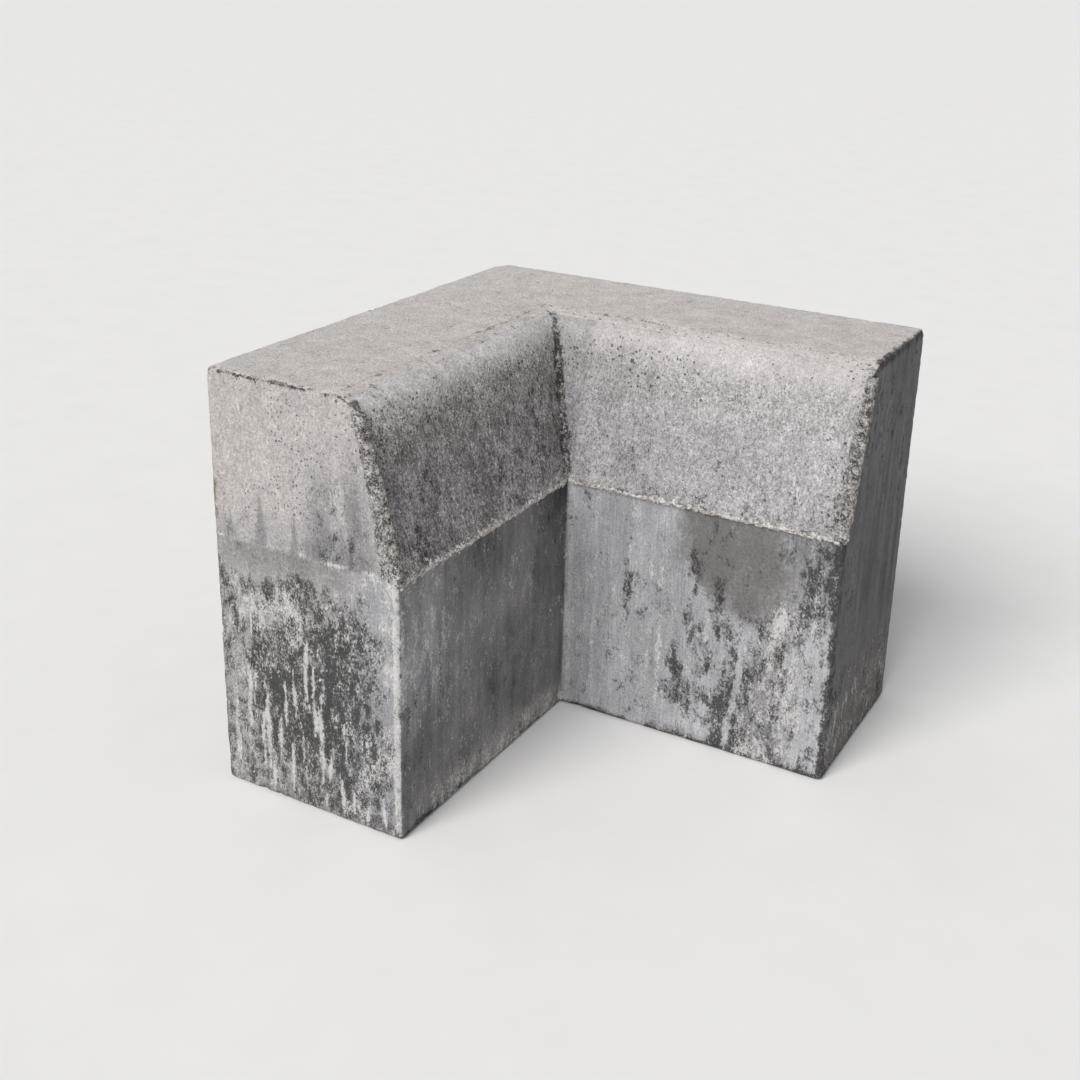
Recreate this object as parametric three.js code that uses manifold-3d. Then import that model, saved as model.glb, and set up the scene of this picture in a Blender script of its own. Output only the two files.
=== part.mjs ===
// Precast concrete kerb corner: a 90 degree internal angle in half-battered kerb.
// Two equal legs meet at one square back corner. Leg A runs towards -Y and leg B towards +X, and
// the battered, round-topped faces look into the angle between them. Millimetres, +Z up. The origin
// is at the centre of the bounding box, on the ground.

import * as THREE from 'three';
import { mergeVertices } from 'three/addons/utils/BufferGeometryUtils.js';
import Module from 'manifold-3d';

const wasm = await Module();
wasm.setup();

// Driving dimensions of the kerb
const LEG = 305; // outer length of each leg, from the back corner to its end face
const WIDTH = 125; // thickness of a leg at its base
const HEIGHT = 255;
const FACE_HEIGHT = 158; // height of the upright part of the face, and of the lift joint
const BATTER_DEG = 15; // lean of the upper face from upright
const ARRIS_RADIUS = 18; // round between the battered face and the top
const BACK_CORNER_RADIUS = 13; // outer corner, on the back of the angle
const END_EDGE_RADIUS = 3; // upright edges of the end faces
const RIM_BEVEL = 2; // worn edges of the base and the top
const GAP = 0.3; // clearance between pieces that touch

// Ridges of set paste and stone, left where the mould plates met
const SEAM_RIDGE = { radius: 2, inset: 0.6 };
const CORNER_RIDGE = { radius: 3, inset: 1 };
const END_RIDGE = { radius: 3.6, inset: 1.2, fromEnd: 2.4 };
const RIDGE_TOP_DEG = 50; // where an upright ridge dies out on the round of the arris
const RIDGE_SIDES = 8;
const RIDGE_STEPS = 12;

const BATTER = THREE.MathUtils.degToRad(BATTER_DEG);

// One concrete, in the finishes that the mould and the weather leave on it
const formedConcrete = new THREE.MeshStandardMaterial({ color: 0x66686b, roughness: 0.85, metalness: 0 });
const granularConcrete = new THREE.MeshStandardMaterial({ color: 0x8b8784, roughness: 0.95, metalness: 0 });
const paleLaitance = new THREE.MeshStandardMaterial({ color: 0xaaa49d, roughness: 0.95, metalness: 0 });
const bareAggregate = new THREE.MeshStandardMaterial({ color: 0x7d766f, roughness: 1, metalness: 0 });

// The battered face seen end-on, from the top of the upright face to a given angle on the round.
// x is the distance from the back of the leg and y the height; inset moves it into the concrete.
function facePath(inset, topDeg) {
  const radius = ARRIS_RADIUS - inset;
  const centreHeight = HEIGHT - ARRIS_RADIUS;
  const rise = centreHeight - FACE_HEIGHT;
  const centreX = WIDTH - (ARRIS_RADIUS + rise * Math.sin(BATTER)) / Math.cos(BATTER);
  const path = new THREE.Path();
  path.moveTo(WIDTH - inset / Math.cos(BATTER), FACE_HEIGHT);
  path.lineTo(centreX + radius * Math.cos(BATTER), centreHeight + radius * Math.sin(BATTER));
  path.absarc(centreX, centreHeight, radius, BATTER, THREE.MathUtils.degToRad(topDeg), false);
  return path;
}

// A closed geometry as a solid, and back again
function toSolid(geometry) {
  const bare = geometry.clone();
  bare.deleteAttribute('normal');
  bare.deleteAttribute('uv');
  const merged = mergeVertices(bare, 1e-4);
  return new wasm.Manifold(new wasm.Mesh({
    numProp: 3,
    vertProperties: new Float32Array(merged.attributes.position.array),
    triVerts: new Uint32Array(merged.index.array),
  }));
}

function toGeometry(solid) {
  const mesh = solid.getMesh();
  const geometry = new THREE.BufferGeometry();
  geometry.setAttribute('position', new THREE.BufferAttribute(mesh.vertProperties, mesh.numProp));
  geometry.setIndex(new THREE.BufferAttribute(mesh.triVerts, 1));
  geometry.computeVertexNormals();
  return geometry;
}

// An outline whose outward corners are rounded, each by its own radius
function roundedOutline(corners) {
  const outline = new THREE.Shape();
  corners.forEach(({ x, y, radius }, i) => {
    const here = new THREE.Vector2(x, y);
    const before = corners[(i + corners.length - 1) % corners.length];
    const after = corners[(i + 1) % corners.length];
    const start = new THREE.Vector2(before.x, before.y).sub(here).setLength(radius).add(here);
    const end = new THREE.Vector2(after.x, after.y).sub(here).setLength(radius).add(here);
    if (i === 0) outline.moveTo(start.x, start.y);
    else outline.lineTo(start.x, start.y);
    if (radius > 0) outline.quadraticCurveTo(x, y, end.x, end.y);
  });
  outline.closePath();
  return outline;
}

// The L-shaped block with upright sides that the kerb is cut from, its outer edges already worn
function blank() {
  const outline = roundedOutline([
    { x: 0, y: 0, radius: BACK_CORNER_RADIUS },
    { x: 0, y: -LEG, radius: END_EDGE_RADIUS },
    { x: WIDTH, y: -LEG, radius: END_EDGE_RADIUS },
    { x: WIDTH, y: -WIDTH, radius: 0 },
    { x: LEG, y: -WIDTH, radius: END_EDGE_RADIUS },
    { x: LEG, y: 0, radius: END_EDGE_RADIUS },
  ]);
  const geometry = new THREE.ExtrudeGeometry(outline, {
    depth: HEIGHT - 2 * RIM_BEVEL,
    bevelSize: RIM_BEVEL,
    bevelThickness: RIM_BEVEL,
    bevelOffset: -RIM_BEVEL,
    bevelSegments: 2,
    curveSegments: 8,
  });
  return toSolid(geometry.translate(0, 0, RIM_BEVEL));
}

// One straight length of kerb section as leg A lies, or turned to lie as leg B
function leg(alongX) {
  const section = new THREE.Shape();
  section.moveTo(0, 0);
  section.lineTo(WIDTH, 0);
  facePath(0, 90).getPoints(10).forEach(({ x, y }) => section.lineTo(x, y));
  section.lineTo(0, HEIGHT);
  const geometry = new THREE.ExtrudeGeometry(section, { depth: LEG, bevelEnabled: false });
  geometry.rotateX(Math.PI / 2);
  if (alongX) geometry.rotateZ(-Math.PI / 2).translate(LEG, 0, 0);
  return toSolid(geometry);
}

// What lies between two heights, over the square that the two legs fill
function band(low, high) {
  const box = new THREE.BoxGeometry(LEG, LEG, high - low);
  return toSolid(box.translate(LEG / 2, -LEG / 2, (low + high) / 2));
}

// A route drawn out at both ends by the same length
function drawnOut(route, length) {
  const step = (from, to) => to.clone().sub(from).setLength(length).add(to);
  return [step(route[1], route[0]), ...route.slice(1, -1), step(route.at(-2), route.at(-1))];
}

// A ridge: a solid rod along a route. A grown one is the room that a ridge needs in its neighbours.
function ridge(route, { radius }, growth = 0) {
  const section = new THREE.Shape();
  for (let i = 0; i < RIDGE_SIDES; i++) {
    const angle = (2 * Math.PI * i) / RIDGE_SIDES;
    const x = (radius + growth) * Math.cos(angle);
    const y = (radius + growth) * Math.sin(angle);
    if (i === 0) section.moveTo(x, y);
    else section.lineTo(x, y);
  }
  const steps = route.length > 2 ? RIDGE_STEPS : 1;
  return toSolid(new THREE.ExtrudeGeometry(section, {
    extrudePath: new THREE.CatmullRomCurve3(drawnOut(route, growth), false, 'centripetal'),
    steps,
    bevelEnabled: false,
  }));
}

// Routes on leg A. Leg B is its mirror image in the upright plane through the angle.
const mirror = (points) => points.map((p) => new THREE.Vector3(-p.y, -p.x, p.z));

function seamRoute() {
  const x = WIDTH - SEAM_RIDGE.inset;
  const pastEndRidge = END_RIDGE.fromEnd + END_RIDGE.radius + GAP - LEG;
  return [pastEndRidge, -x].map((y) => new THREE.Vector3(x, y, FACE_HEIGHT));
}

function cornerRoute() {
  const points = facePath(CORNER_RIDGE.inset, RIDGE_TOP_DEG).getSpacedPoints(RIDGE_STEPS);
  return points.map(({ x, y }) => new THREE.Vector3(x, -x, y));
}

function endRoute() {
  const points = facePath(END_RIDGE.inset, RIDGE_TOP_DEG).getSpacedPoints(RIDGE_STEPS);
  const route = points.map(({ x, y }) => new THREE.Vector3(x, END_RIDGE.fromEnd - LEG, y));
  return drawnOut(route, END_RIDGE.inset);
}

// The ridges in the order that they are fitted: each later one gives way to those before it
const ridges = [
  { name: 'seam_ridge_leg_a', route: seamRoute(), size: SEAM_RIDGE, material: paleLaitance },
  { name: 'seam_ridge_leg_b', route: mirror(seamRoute()), size: SEAM_RIDGE, material: paleLaitance },
  { name: 'corner_ridge', route: cornerRoute(), size: CORNER_RIDGE, material: bareAggregate },
  { name: 'end_ridge_leg_a', route: endRoute(), size: END_RIDGE, material: bareAggregate },
  { name: 'end_ridge_leg_b', route: mirror(endRoute()), size: END_RIDGE, material: bareAggregate },
];

// The two blocks, cut back to give the ridges their room
const room = ridges.map(({ route, size }) => ridge(route, size, GAP));
const kerb = leg(false).add(leg(true)).intersect(blank());
const cutBack = (solid) => room.reduce((left, cutter) => left.subtract(cutter), solid);
const lower = cutBack(kerb.intersect(band(0, FACE_HEIGHT - GAP / 2)));
const upper = cutBack(kerb.intersect(band(FACE_HEIGHT + GAP / 2, HEIGHT)));

function addMesh(parent, name, solid, material) {
  const mesh = new THREE.Mesh(toGeometry(solid), material);
  mesh.name = name;
  parent.add(mesh);
}

const group = new THREE.Group();
group.position.set(-LEG / 2, LEG / 2, 0);
addMesh(group, 'lower_block', lower, formedConcrete);
addMesh(group, 'upper_block', upper, granularConcrete);
ridges.forEach(({ name, route, size, material }, i) => {
  const whole = ridge(route, size).intersect(band(0, HEIGHT));
  const fitted = room.slice(0, i).reduce((left, cutter) => left.subtract(cutter), whole);
  addMesh(group, name, fitted, material);
});

export default group;
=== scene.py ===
"""Looks of a precast concrete kerb corner: two weathered L-shaped lifts, the ragged ridges along
their seams, and a plain studio. Metres, in the frame of the CAD model, +Z up."""

import itertools
import math
import random

import bmesh
import bpy
import numpy as np
from mathutils import Matrix, Vector


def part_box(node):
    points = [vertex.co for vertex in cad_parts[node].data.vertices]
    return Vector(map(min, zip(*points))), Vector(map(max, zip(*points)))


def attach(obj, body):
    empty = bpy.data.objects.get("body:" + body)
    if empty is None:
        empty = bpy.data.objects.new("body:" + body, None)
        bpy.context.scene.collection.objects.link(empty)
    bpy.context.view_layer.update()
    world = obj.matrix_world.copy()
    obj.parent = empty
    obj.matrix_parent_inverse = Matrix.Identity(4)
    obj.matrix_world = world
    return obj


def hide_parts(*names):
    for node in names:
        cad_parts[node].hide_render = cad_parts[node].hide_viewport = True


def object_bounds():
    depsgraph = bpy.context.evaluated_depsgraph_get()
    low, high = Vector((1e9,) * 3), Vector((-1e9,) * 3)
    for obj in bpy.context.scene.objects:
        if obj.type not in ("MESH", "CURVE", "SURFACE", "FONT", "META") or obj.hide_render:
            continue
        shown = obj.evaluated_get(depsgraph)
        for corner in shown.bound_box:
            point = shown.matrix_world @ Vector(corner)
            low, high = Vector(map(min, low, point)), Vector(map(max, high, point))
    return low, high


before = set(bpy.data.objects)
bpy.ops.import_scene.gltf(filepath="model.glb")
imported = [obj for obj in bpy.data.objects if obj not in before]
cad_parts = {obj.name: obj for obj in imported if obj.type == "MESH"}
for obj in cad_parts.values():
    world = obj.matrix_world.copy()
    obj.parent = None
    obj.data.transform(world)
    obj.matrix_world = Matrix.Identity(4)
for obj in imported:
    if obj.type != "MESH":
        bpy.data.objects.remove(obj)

CAD_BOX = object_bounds()
LOW, HIGH = (np.array(corner) for corner in CAD_BOX)
MM = 0.001

# Sizes that the CAD model fixes
LEG = HIGH[0] - LOW[0]
HEIGHT = HIGH[2]
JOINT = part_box("lower_block")[1].z  # top of the lower lift
JOINT_MIDDLE = (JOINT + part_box("upper_block")[0].z) / 2
WIDTH = 125 * MM  # thickness of a leg at its base
BATTER = math.radians(15)
ARRIS_RADIUS = 18 * MM

# The camera: where it stands, its angles in radians, and its lens in millimetres
CAMERA_PLACE = (365.7 * MM, -701.3 * MM, 480.7 * MM)
CAMERA_AZIMUTH = 0.5005
CAMERA_ELEVATION = 0.3447
CAMERA_ROLL = 0.0286
CAMERA_LENS = 47.6
CAMERA_SENSOR = 36
CAMERA_SHIFT = (-0.0185, -0.0926)

# The lights and the floor
KEY_DIRECTION = (-0.1, -0.74, 0.66)
KEY_STRENGTH = 2.7
KEY_SPREAD = math.radians(35)
KEY_COLOUR = (1, 0.985, 0.965)
SKY_COLOUR = (0.985, 0.99, 1, 1)
SKY_AT_HORIZON = 0.86
SKY_OVERHEAD = 0.33
FLOOR_RADIUS = 60

# Widths of the mesh faces, on the blocks and on the finer ridges
BLOCK_VOXEL = 1.2 * MM
RIDGE_VOXEL = 0.5 * MM

# Stains with a place of their own, in millimetres along their face and up from the ground
DAMP_WEDGES_END_A = (  # middle, half width at the joint, height of the tip
    (13, 5, 172), (34, 6, 192), (57, 4, 186), (66, 3, 176), (76, 5, 198), (90, 6, 186),
)
DRIPS_END_A = (  # middle, top, bottom, half width
    (20, 92, 44, 1.1), (24, 82, 66, 1.0), (33, 72, 24, 1.7), (42, 64, 34, 1.4), (53, 94, 62, 1.3),
    (62, 118, 74, 1.2), (67, 102, 56, 1.1), (71, 82, 30, 1.5), (84, 38, 12, 1.1), (93, 36, 14, 1.2),
    (102, 24, 4, 1.2), (10, 62, 20, 1.1), (114, 34, 8, 1.1), (36, 34, 8, 1.1), (50, 48, 14, 1.1),
    (29, 58, 30, 1.0), (46, 80, 52, 1.0), (58, 60, 36, 1.0), (77, 56, 26, 1.0), (88, 66, 44, 1.0),
)
JOINT_LEVEL = 158  # the lift joint, which divides the stains above it from those below
BLOTS_FACE_B = (  # middle, height, half width, half height
    (90, 115, 5, 15), (108, 95, 6, 17), (87, 78, 9, 14), (84, 37, 13, 15), (65, 88, 7, 12),
    (99, 62, 7, 12), (76, 52, 6, 12), (46, 96, 5, 10), (104, 30, 8, 12),
)


# Noise. All of it is a fixed function of place, so that every run gives the same surface.


def lattice(cells):
    """A repeatable value from -1 to 1 for each whole-numbered cell."""
    mixed = cells @ np.array((73856093, 19349663, 83492791), np.int64)
    mixed = ((mixed ^ (mixed >> 13)) * 1274126177) & 0xFFFFFFFF
    mixed = ((mixed ^ (mixed >> 15)) * 2246822519) & 0xFFFFFFFF
    return (mixed >> 8) / float(0x7FFFFF) - 1


def noise(points, size, seed=0):
    """Smooth noise from -1 to 1. size is the width of its features: one number, or one per axis."""
    scaled = points / np.array(size) + 31.7 * seed
    cells = np.floor(scaled).astype(np.int64)
    blend = scaled - cells
    blend = blend * blend * (3 - 2 * blend)
    total = np.zeros(len(points))
    for corner in itertools.product((0, 1), repeat=3):
        weight = np.where(corner, blend, 1 - blend).prod(axis=1)
        total += weight * lattice(cells + np.array(corner))
    return total


def fractal(points, size, octaves=3, seed=0):
    """Noise with finer and fainter noise on top."""
    layers = (noise(points, np.array(size) / 2**i, seed + i) / 2**i for i in range(octaves))
    return sum(layers) / 1.5


def pits(points, spacing, radius, share, seed=0):
    """Depth from 0 to 1 of round-bottomed pits, one in each of a share of a grid's cells."""
    scaled = points / spacing
    cells = np.floor(scaled).astype(np.int64)
    depth = np.zeros(len(points))
    for step in itertools.product((-1, 0, 1), repeat=3):
        cell = cells + np.array(step)
        jitter = [lattice(cell * 3 + 101 * (axis + 1 + seed)) * 0.5 + 0.5 for axis in range(3)]
        size = lattice(cell + 977 + seed) * 0.5 + 0.5
        away = np.linalg.norm(scaled - cell - np.stack(jitter, axis=1), axis=1) * spacing
        own = radius * (0.4 + 0.8 * size)
        bowl = np.clip(1 - (away / own) ** 2, 0, 1)
        depth = np.maximum(depth, np.where(lattice(cell - 555 - seed) * 0.5 + 0.5 < share, bowl, 0))
    return depth


def step_up(value, start, end):
    """0 before start, 1 after end, smooth between; end may be below start."""
    t = np.clip((value - start) / (end - start), 0, 1)
    return t * t * (3 - 2 * t)


def window(value, start, end, soft):
    """1 between start and end, fading out over soft on both sides."""
    return step_up(value, start - soft, start + soft) * step_up(value, end + soft, end - soft)


# The kerb's section


def face_setback(height):
    """How far the battered face stands from the back of its leg, at each height."""
    centre_height = HEIGHT - ARRIS_RADIUS
    rise = centre_height - JOINT
    centre = WIDTH - (ARRIS_RADIUS + rise * math.sin(BATTER)) / math.cos(BATTER)
    straight = WIDTH - np.maximum(height - JOINT, 0) * math.tan(BATTER)
    over = np.clip(height - centre_height, 0, ARRIS_RADIUS)
    round_top = centre + np.sqrt(np.maximum(ARRIS_RADIUS**2 - over**2, 0))
    return np.minimum(straight, np.where(height > centre_height, round_top, straight))


class Skin:
    """The vertices of the kerb: where they lie on it, and which of its faces each belongs to."""

    NEAR_FLAT = 2 * MM  # how far a vertex of an end face or the top may lie from its plane
    BEHIND_FACE = 4 * MM  # how far a vertex of an inner face may lie behind it
    BEFORE_FACE = 3 * MM  # how far it may stand out of it, on a ridge
    SQUARE_ON = 0.7  # least part of a normal that looks the way of an end face or the top
    LEANING = 0.3  # the same for the inner faces, which lean back and round over

    def __init__(self, mesh):
        self.points = read_vertices(mesh, "co")
        self.normals = read_vertices(mesh, "normal")
        self.across_a = self.points[:, 0] - LOW[0]  # from the back of leg A
        self.across_b = HIGH[1] - self.points[:, 1]  # from the back of leg B
        self.height = self.points[:, 2]
        nx, ny, nz = self.normals.T
        setback = face_setback(self.height)
        nearer = np.minimum(self.across_a, self.across_b)
        inside = nearer > setback - self.BEHIND_FACE
        self.end_a = (self.across_b > LEG - self.NEAR_FLAT) & (ny < -self.SQUARE_ON)
        self.end_b = (self.across_a > LEG - self.NEAR_FLAT) & (nx > self.SQUARE_ON)
        on_face_a = (nx > self.LEANING) & (self.across_a < setback + self.BEFORE_FACE)
        self.face_a = inside & ~self.end_a & on_face_a
        self.face_b = inside & ~self.end_b & ~self.face_a & (ny < -self.LEANING)
        self.top = (self.height > HEIGHT - self.NEAR_FLAT) & (nz > self.SQUARE_ON)
        marked = (self.end_a, self.end_b, self.face_a, self.face_b, self.top)
        self.back = ~np.logical_or.reduce(marked)


def read_vertices(mesh, name):
    values = np.empty(len(mesh.vertices) * 3, np.float32)
    mesh.vertices.foreach_get(name, values)
    return values.reshape(-1, 3).astype(float)


def read_edges(mesh):
    edges = np.empty(len(mesh.edges) * 2, np.int32)
    mesh.edges.foreach_get("vertices", edges)
    return edges.reshape(-1, 2)


def relaxed(points, edges, rounds):
    """The same vertices, each moved to the middle of its neighbours again and again."""
    first, second = edges.T
    ends = np.concatenate((first, second))
    others = np.concatenate((second, first))
    count = np.bincount(ends, minlength=len(points))[:, None]
    for _ in range(rounds):
        sums = [np.bincount(ends, points[others, axis], len(points)) for axis in range(3)]
        points = np.stack(sums, axis=1) / count
    return points


# Stains, crusts and drips, painted on the skin as amounts that the shader turns into patterns.
# In the painters, z is the height and u or along the distance along a face, both in millimetres,
# and p is the places for noise, in metres. Most start from the body's tone and warmth, and then
# add one stain after another.


def paint_end_a(skin, paint):
    """End face of leg A: pale above the joint, with drips, and mottled black and white below."""
    u, z, p = skin.across_a / MM, skin.height / MM, skin.points
    here = skin.end_a
    upper = step_up(z, JOINT_LEVEL - 2, JOINT_LEVEL + 2)
    lower = 1 - upper
    runs = fractal(p, (5 * MM, 5 * MM, 80 * MM), 3, 5)
    wander = 9 * noise(p, 30 * MM, 6) + 4 * noise(p, 9 * MM, 7)
    cloud = fractal(p, (24 * MM, 24 * MM, 34 * MM), 3, 11)

    # Damp: down the side by the batter, along the joint, and in wedges that rise from it
    side = window(u, 68, 106, 10) * step_up(z + wander, 236, 180)
    damp = side * step_up(runs, -0.9, 0.5) + 0.35 * step_up(z + wander, 186, 160)
    for middle, half_width, tip in DAMP_WEDGES_END_A:
        away = np.abs(u - middle - 2 * runs) / half_width
        rise = (z - JOINT_LEVEL + 1) / (tip - JOINT_LEVEL + 1)
        damp = np.maximum(damp, 0.8 * step_up(away + rise, 1.25, 0.7))
    damp = upper * damp
    paint.set("tone", here, 0.47 - 0.24 * damp - lower * 0.14)
    paint.set("warm", here, 0.7 - 0.95 * damp - lower * (0.4 + 0.6 * step_up(u, 60, 110)))
    paint.add("dark", here, upper * (0.1 + 0.22 * side))
    paint.add("pale", here, upper * (0.16 + 0.1 * side))

    # Brown band under the joint, then black crust, thickest in its heart and at its foot
    band = lower * step_up(z + 0.4 * wander, 134, 150) * window(u + 0.3 * wander, 4, 86, 14)
    paint.add("brown", here, 0.5 * band)
    crust = lower * window(u + wander, -12, 118, 12) * window(z + wander, -8, 140, 14)
    heart = lower * window(u + wander, 58, 98, 12) * window(z + wander, 46, 116, 18)
    foot = lower * window(u + wander, 20, 78, 12) * window(z, 22, 86, 14)
    paint.add("dark", here, crust * (0.55 + 0.26 * cloud) + 0.2 * heart + 0.1 * foot)

    # Lime: a bloom towards the inner edge, a pale shelf near the back, and drips
    bloom = lower * (0.35 + step_up(u, 80, 112) * (0.06 + 0.3 * cloud))
    shelf = lower * window(z + wander, 98, 128, 8) * window(u, 12, 60, 9)
    paint.add("pale", here, (bloom + 0.15 * shelf) * (1 - 0.8 * band))
    for middle, top, bottom, half_width in DRIPS_END_A:
        sway = 1.4 * noise(p, 14 * MM, middle)
        taper = step_up(z, top, top - 26) * step_up(z, bottom - 12, bottom + 8)
        width = half_width * taper + 0.01
        streak = lower * step_up(np.abs(u - middle - sway) / width, 1.9, 0.3)
        paint.add("pale", here, 0.3 * streak)
        paint.add("dark", here, -0.25 * streak)

    # Earth at the foot and up the back edge, with moss above it
    foot_earth = 0.5 * step_up(z + 0.5 * wander, 18, 2)
    edge_earth = 0.5 * step_up(u, 7, 1) * step_up(z, 90, 20)
    paint.add("brown", here, foot_earth + edge_earth)
    paint.add("moss", here, 0.6 * step_up(u, 7, 1) * window(z, 166, 194, 8))

    # The joint: a broken pale line over a dark one, the dark line painted shade under the seam
    broken = step_up(noise(p, 9 * MM, 13), -0.6, 0.5)
    weld = 1.2 * noise(p, 11 * MM, 14)
    paint.add("pale", here, 0.34 * broken * window(z + weld, 157.5, 160, 1.3))
    paint.add("dark", here, 0.34 * broken * window(z + weld, 154, 156.5, 1.3))
    paint.add("dark", here, 0.1 * window(z + weld, 158, 172, 6))

    # A dark line along the top rim, painted shade of a crack under the top skin with dirt in it,
    # and dirt along the back edge
    rim = step_up(z, 251.5, 253.5) * step_up(u, 108, 96)
    paint.add("dark", here, rim * (0.42 + 0.16 * noise(p, 12 * MM, 8)))
    back_edge = upper * step_up(u, 5, 1) * step_up(noise(p, 9 * MM, 9), -0.5, 0.3)
    paint.add("dark", here, 0.34 * back_edge)


def paint_face_a(skin, paint):
    """Inner face of leg A: sandy above the joint and smooth slate grey below, that grey darkened
    partly as painted shade.
    """
    along, z, p = (LEG - skin.across_b) / MM, skin.height / MM, skin.points
    here = skin.face_a
    above = z > JOINT_LEVEL
    cloud = fractal(p, (34 * MM, 34 * MM, 46 * MM), 3, 21)
    streaks = fractal(p, (4 * MM, 4 * MM, 60 * MM), 3, 22)
    # The smooth part's low tone is partly painted shade on this face turned from the key light
    smooth = 0.165 + 0.09 * cloud + 0.05 * streaks
    paint.set("tone", here, np.where(above, 0.485 + 0.08 * cloud, smooth))
    paint.set("warm", here, np.where(above, 0.1, 0.0))
    paint.add("tone", here, -0.07 * step_up(along, 166, 180))
    paint.add("dark", here, np.where(above, 0.33 + 0.14 * cloud, 0.26 - 0.12 * cloud))

    # A paler wash on the smooth part, near the end face
    wash = window(along + 12 * cloud, -6, 44, 16) * window(z + 14 * cloud, 62, 152, 22)
    paint.add("tone", here, np.where(above, 0, 0.13 * wash * (0.8 + 0.9 * streaks)))
    paint.add("warm", here, np.where(above, 0, -0.35 * wash))
    paint.add("pale", here, np.where(above, 0.27, 0.14 * wash + 0.24 + 0.08 * cloud))

    # Earth along the foot, black towards the end face
    foot = step_up(z + 8 * cloud, 28, 4) * window(along, 34, 190, 22)
    paint.add("brown", here, 0.42 * step_up(z, 15, 3) + 0.3 * foot)
    paint.add("pale", here, 0.22 * foot)
    paint.add("tone", here, 0.18 * foot)
    paint.add("warm", here, 1.4 * foot)
    paint.add("dark", here, 0.8 * step_up(z, 8, 1) * window(along, 10, 48, 8))
    paint.add("dark", here, 0.4 * step_up(z, 6, 0))


def paint_face_b(skin, paint):
    """Inner face of leg B: pale and sandy above, blue-grey below, with a brown patch and runs."""
    along, z, p = (skin.across_a - WIDTH) / MM, skin.height / MM, skin.points
    here = skin.face_b
    upper = step_up(z, JOINT_LEVEL - 1, JOINT_LEVEL + 1)
    lower = 1 - upper
    above = upper > 0.5
    cloud = fractal(p, (34 * MM, 34 * MM, 46 * MM), 3, 31)
    streaks = fractal(p, (3.5 * MM, 3.5 * MM, 80 * MM), 3, 32)
    sandy = 0.47 + 0.06 * step_up(along, 10, 100) + 0.03 * step_up(z, 190, 240) + 0.07 * cloud
    smooth = 0.37 + 0.09 * cloud + 0.05 * streaks + 0.05 * step_up(along, 100, 160)
    paint.set("tone", here, np.where(above, sandy, smooth))
    paint.set("warm", here, np.where(above, 0.3 * step_up(z, 205, 245), -0.35))
    paint.add("dark", here, upper * (0.1 + 0.2 * step_up(z + 30 * cloud, 225, 160)))
    paint.add("dark", here, lower * (0.26 + 0.18 * cloud))
    paint.add("pale", here, 0.24 + 0.12 * lower * streaks + 0.05 * lower)

    # The brown patch hangs from the joint, with dirt beside it out to the end face
    edge = 9 * noise(p, 26 * MM, 33) + 4 * noise(p, 8 * MM, 34) + 2 * noise(p, 3 * MM, 35)
    hem = 112 - 12 * window(along, 96, 136, 12) + 14 * step_up(along, 96, 76)
    hanging = step_up(z + edge, hem - 14, hem + 14)
    patch = lower * window(along + edge, 80, 150, 11) * hanging
    paint.add("brown", here, patch * (0.85 + 0.3 * cloud))
    paint.add("pale", here, -0.22 * patch)
    paint.add("tone", here, -0.1 * patch)
    beside = lower * step_up(along + edge, 146, 158) * step_up(z + edge, 92, 120)
    paint.add("dark", here, 0.26 * beside)
    paint.add("tone", here, -0.12 * beside)

    # Under it: a white run that leans, with black flanks, black crumbs, a tan run and a white drip
    lean = (z - 40) * 0.11
    aside = np.abs(along - lean - 120 - 0.2 * edge)
    white_run = lower * step_up(aside, 2.4, 0.9) * step_up(z, 94, 78)
    flanks = lower * window(along - lean + 0.3 * edge, 109, 130, 4) * step_up(z + edge, 92, 60)
    crumbs = lower * window(along + edge - 0.12 * z, 126, 152, 8) * step_up(z + edge, 122, 92)
    tan_run = lower * window(along + 0.3 * edge, 143, 148, 2.5) * window(z, 84, 108, 7)
    drip = lower * step_up(np.abs(along - 68 + 0.2 * edge), 2.8, 0.8) * window(z, 12, 82, 14)
    for middle, level, half_width, half_height in BLOTS_FACE_B:
        aside = (along - middle + 0.7 * edge) / half_width
        upward = (z - level + 0.7 * edge) / half_height
        paint.add("dark", here, 0.28 * lower * step_up(aside**2 + upward**2, 2.2, 0.0))
    near_end = lower * step_up(along + edge, 154, 172)
    paint.add("dark", here, 0.24 * flanks + 0.28 * crumbs + 0.12 * near_end)
    paint.add("dark", here, -0.26 * white_run - 0.25 * tan_run)
    paint.add("brown", here, 0.4 * crumbs + 0.2 * flanks + 0.4 * tan_run)
    paint.add("pale", here, 0.04 * white_run + 0.22 * tan_run + 0.28 * drip + 0.16 * crumbs)

    # A paler strip beside the angle, and earth along the foot
    strip = lower * step_up(along, 9, 5)
    paint.add("brown", here, 0.2 * strip)
    paint.add("tone", here, 0.11 * strip - 0.1 * step_up(along, 4, 0))
    paint.add("brown", here, 0.6 * step_up(z + 0.4 * edge, 9, 2))
    clean = window(along, 50, 60, 3) * step_up(z, 8, 3)
    paint.add("dark", here, 0.45 * step_up(z, 6, 0) - 0.6 * clean)


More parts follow.
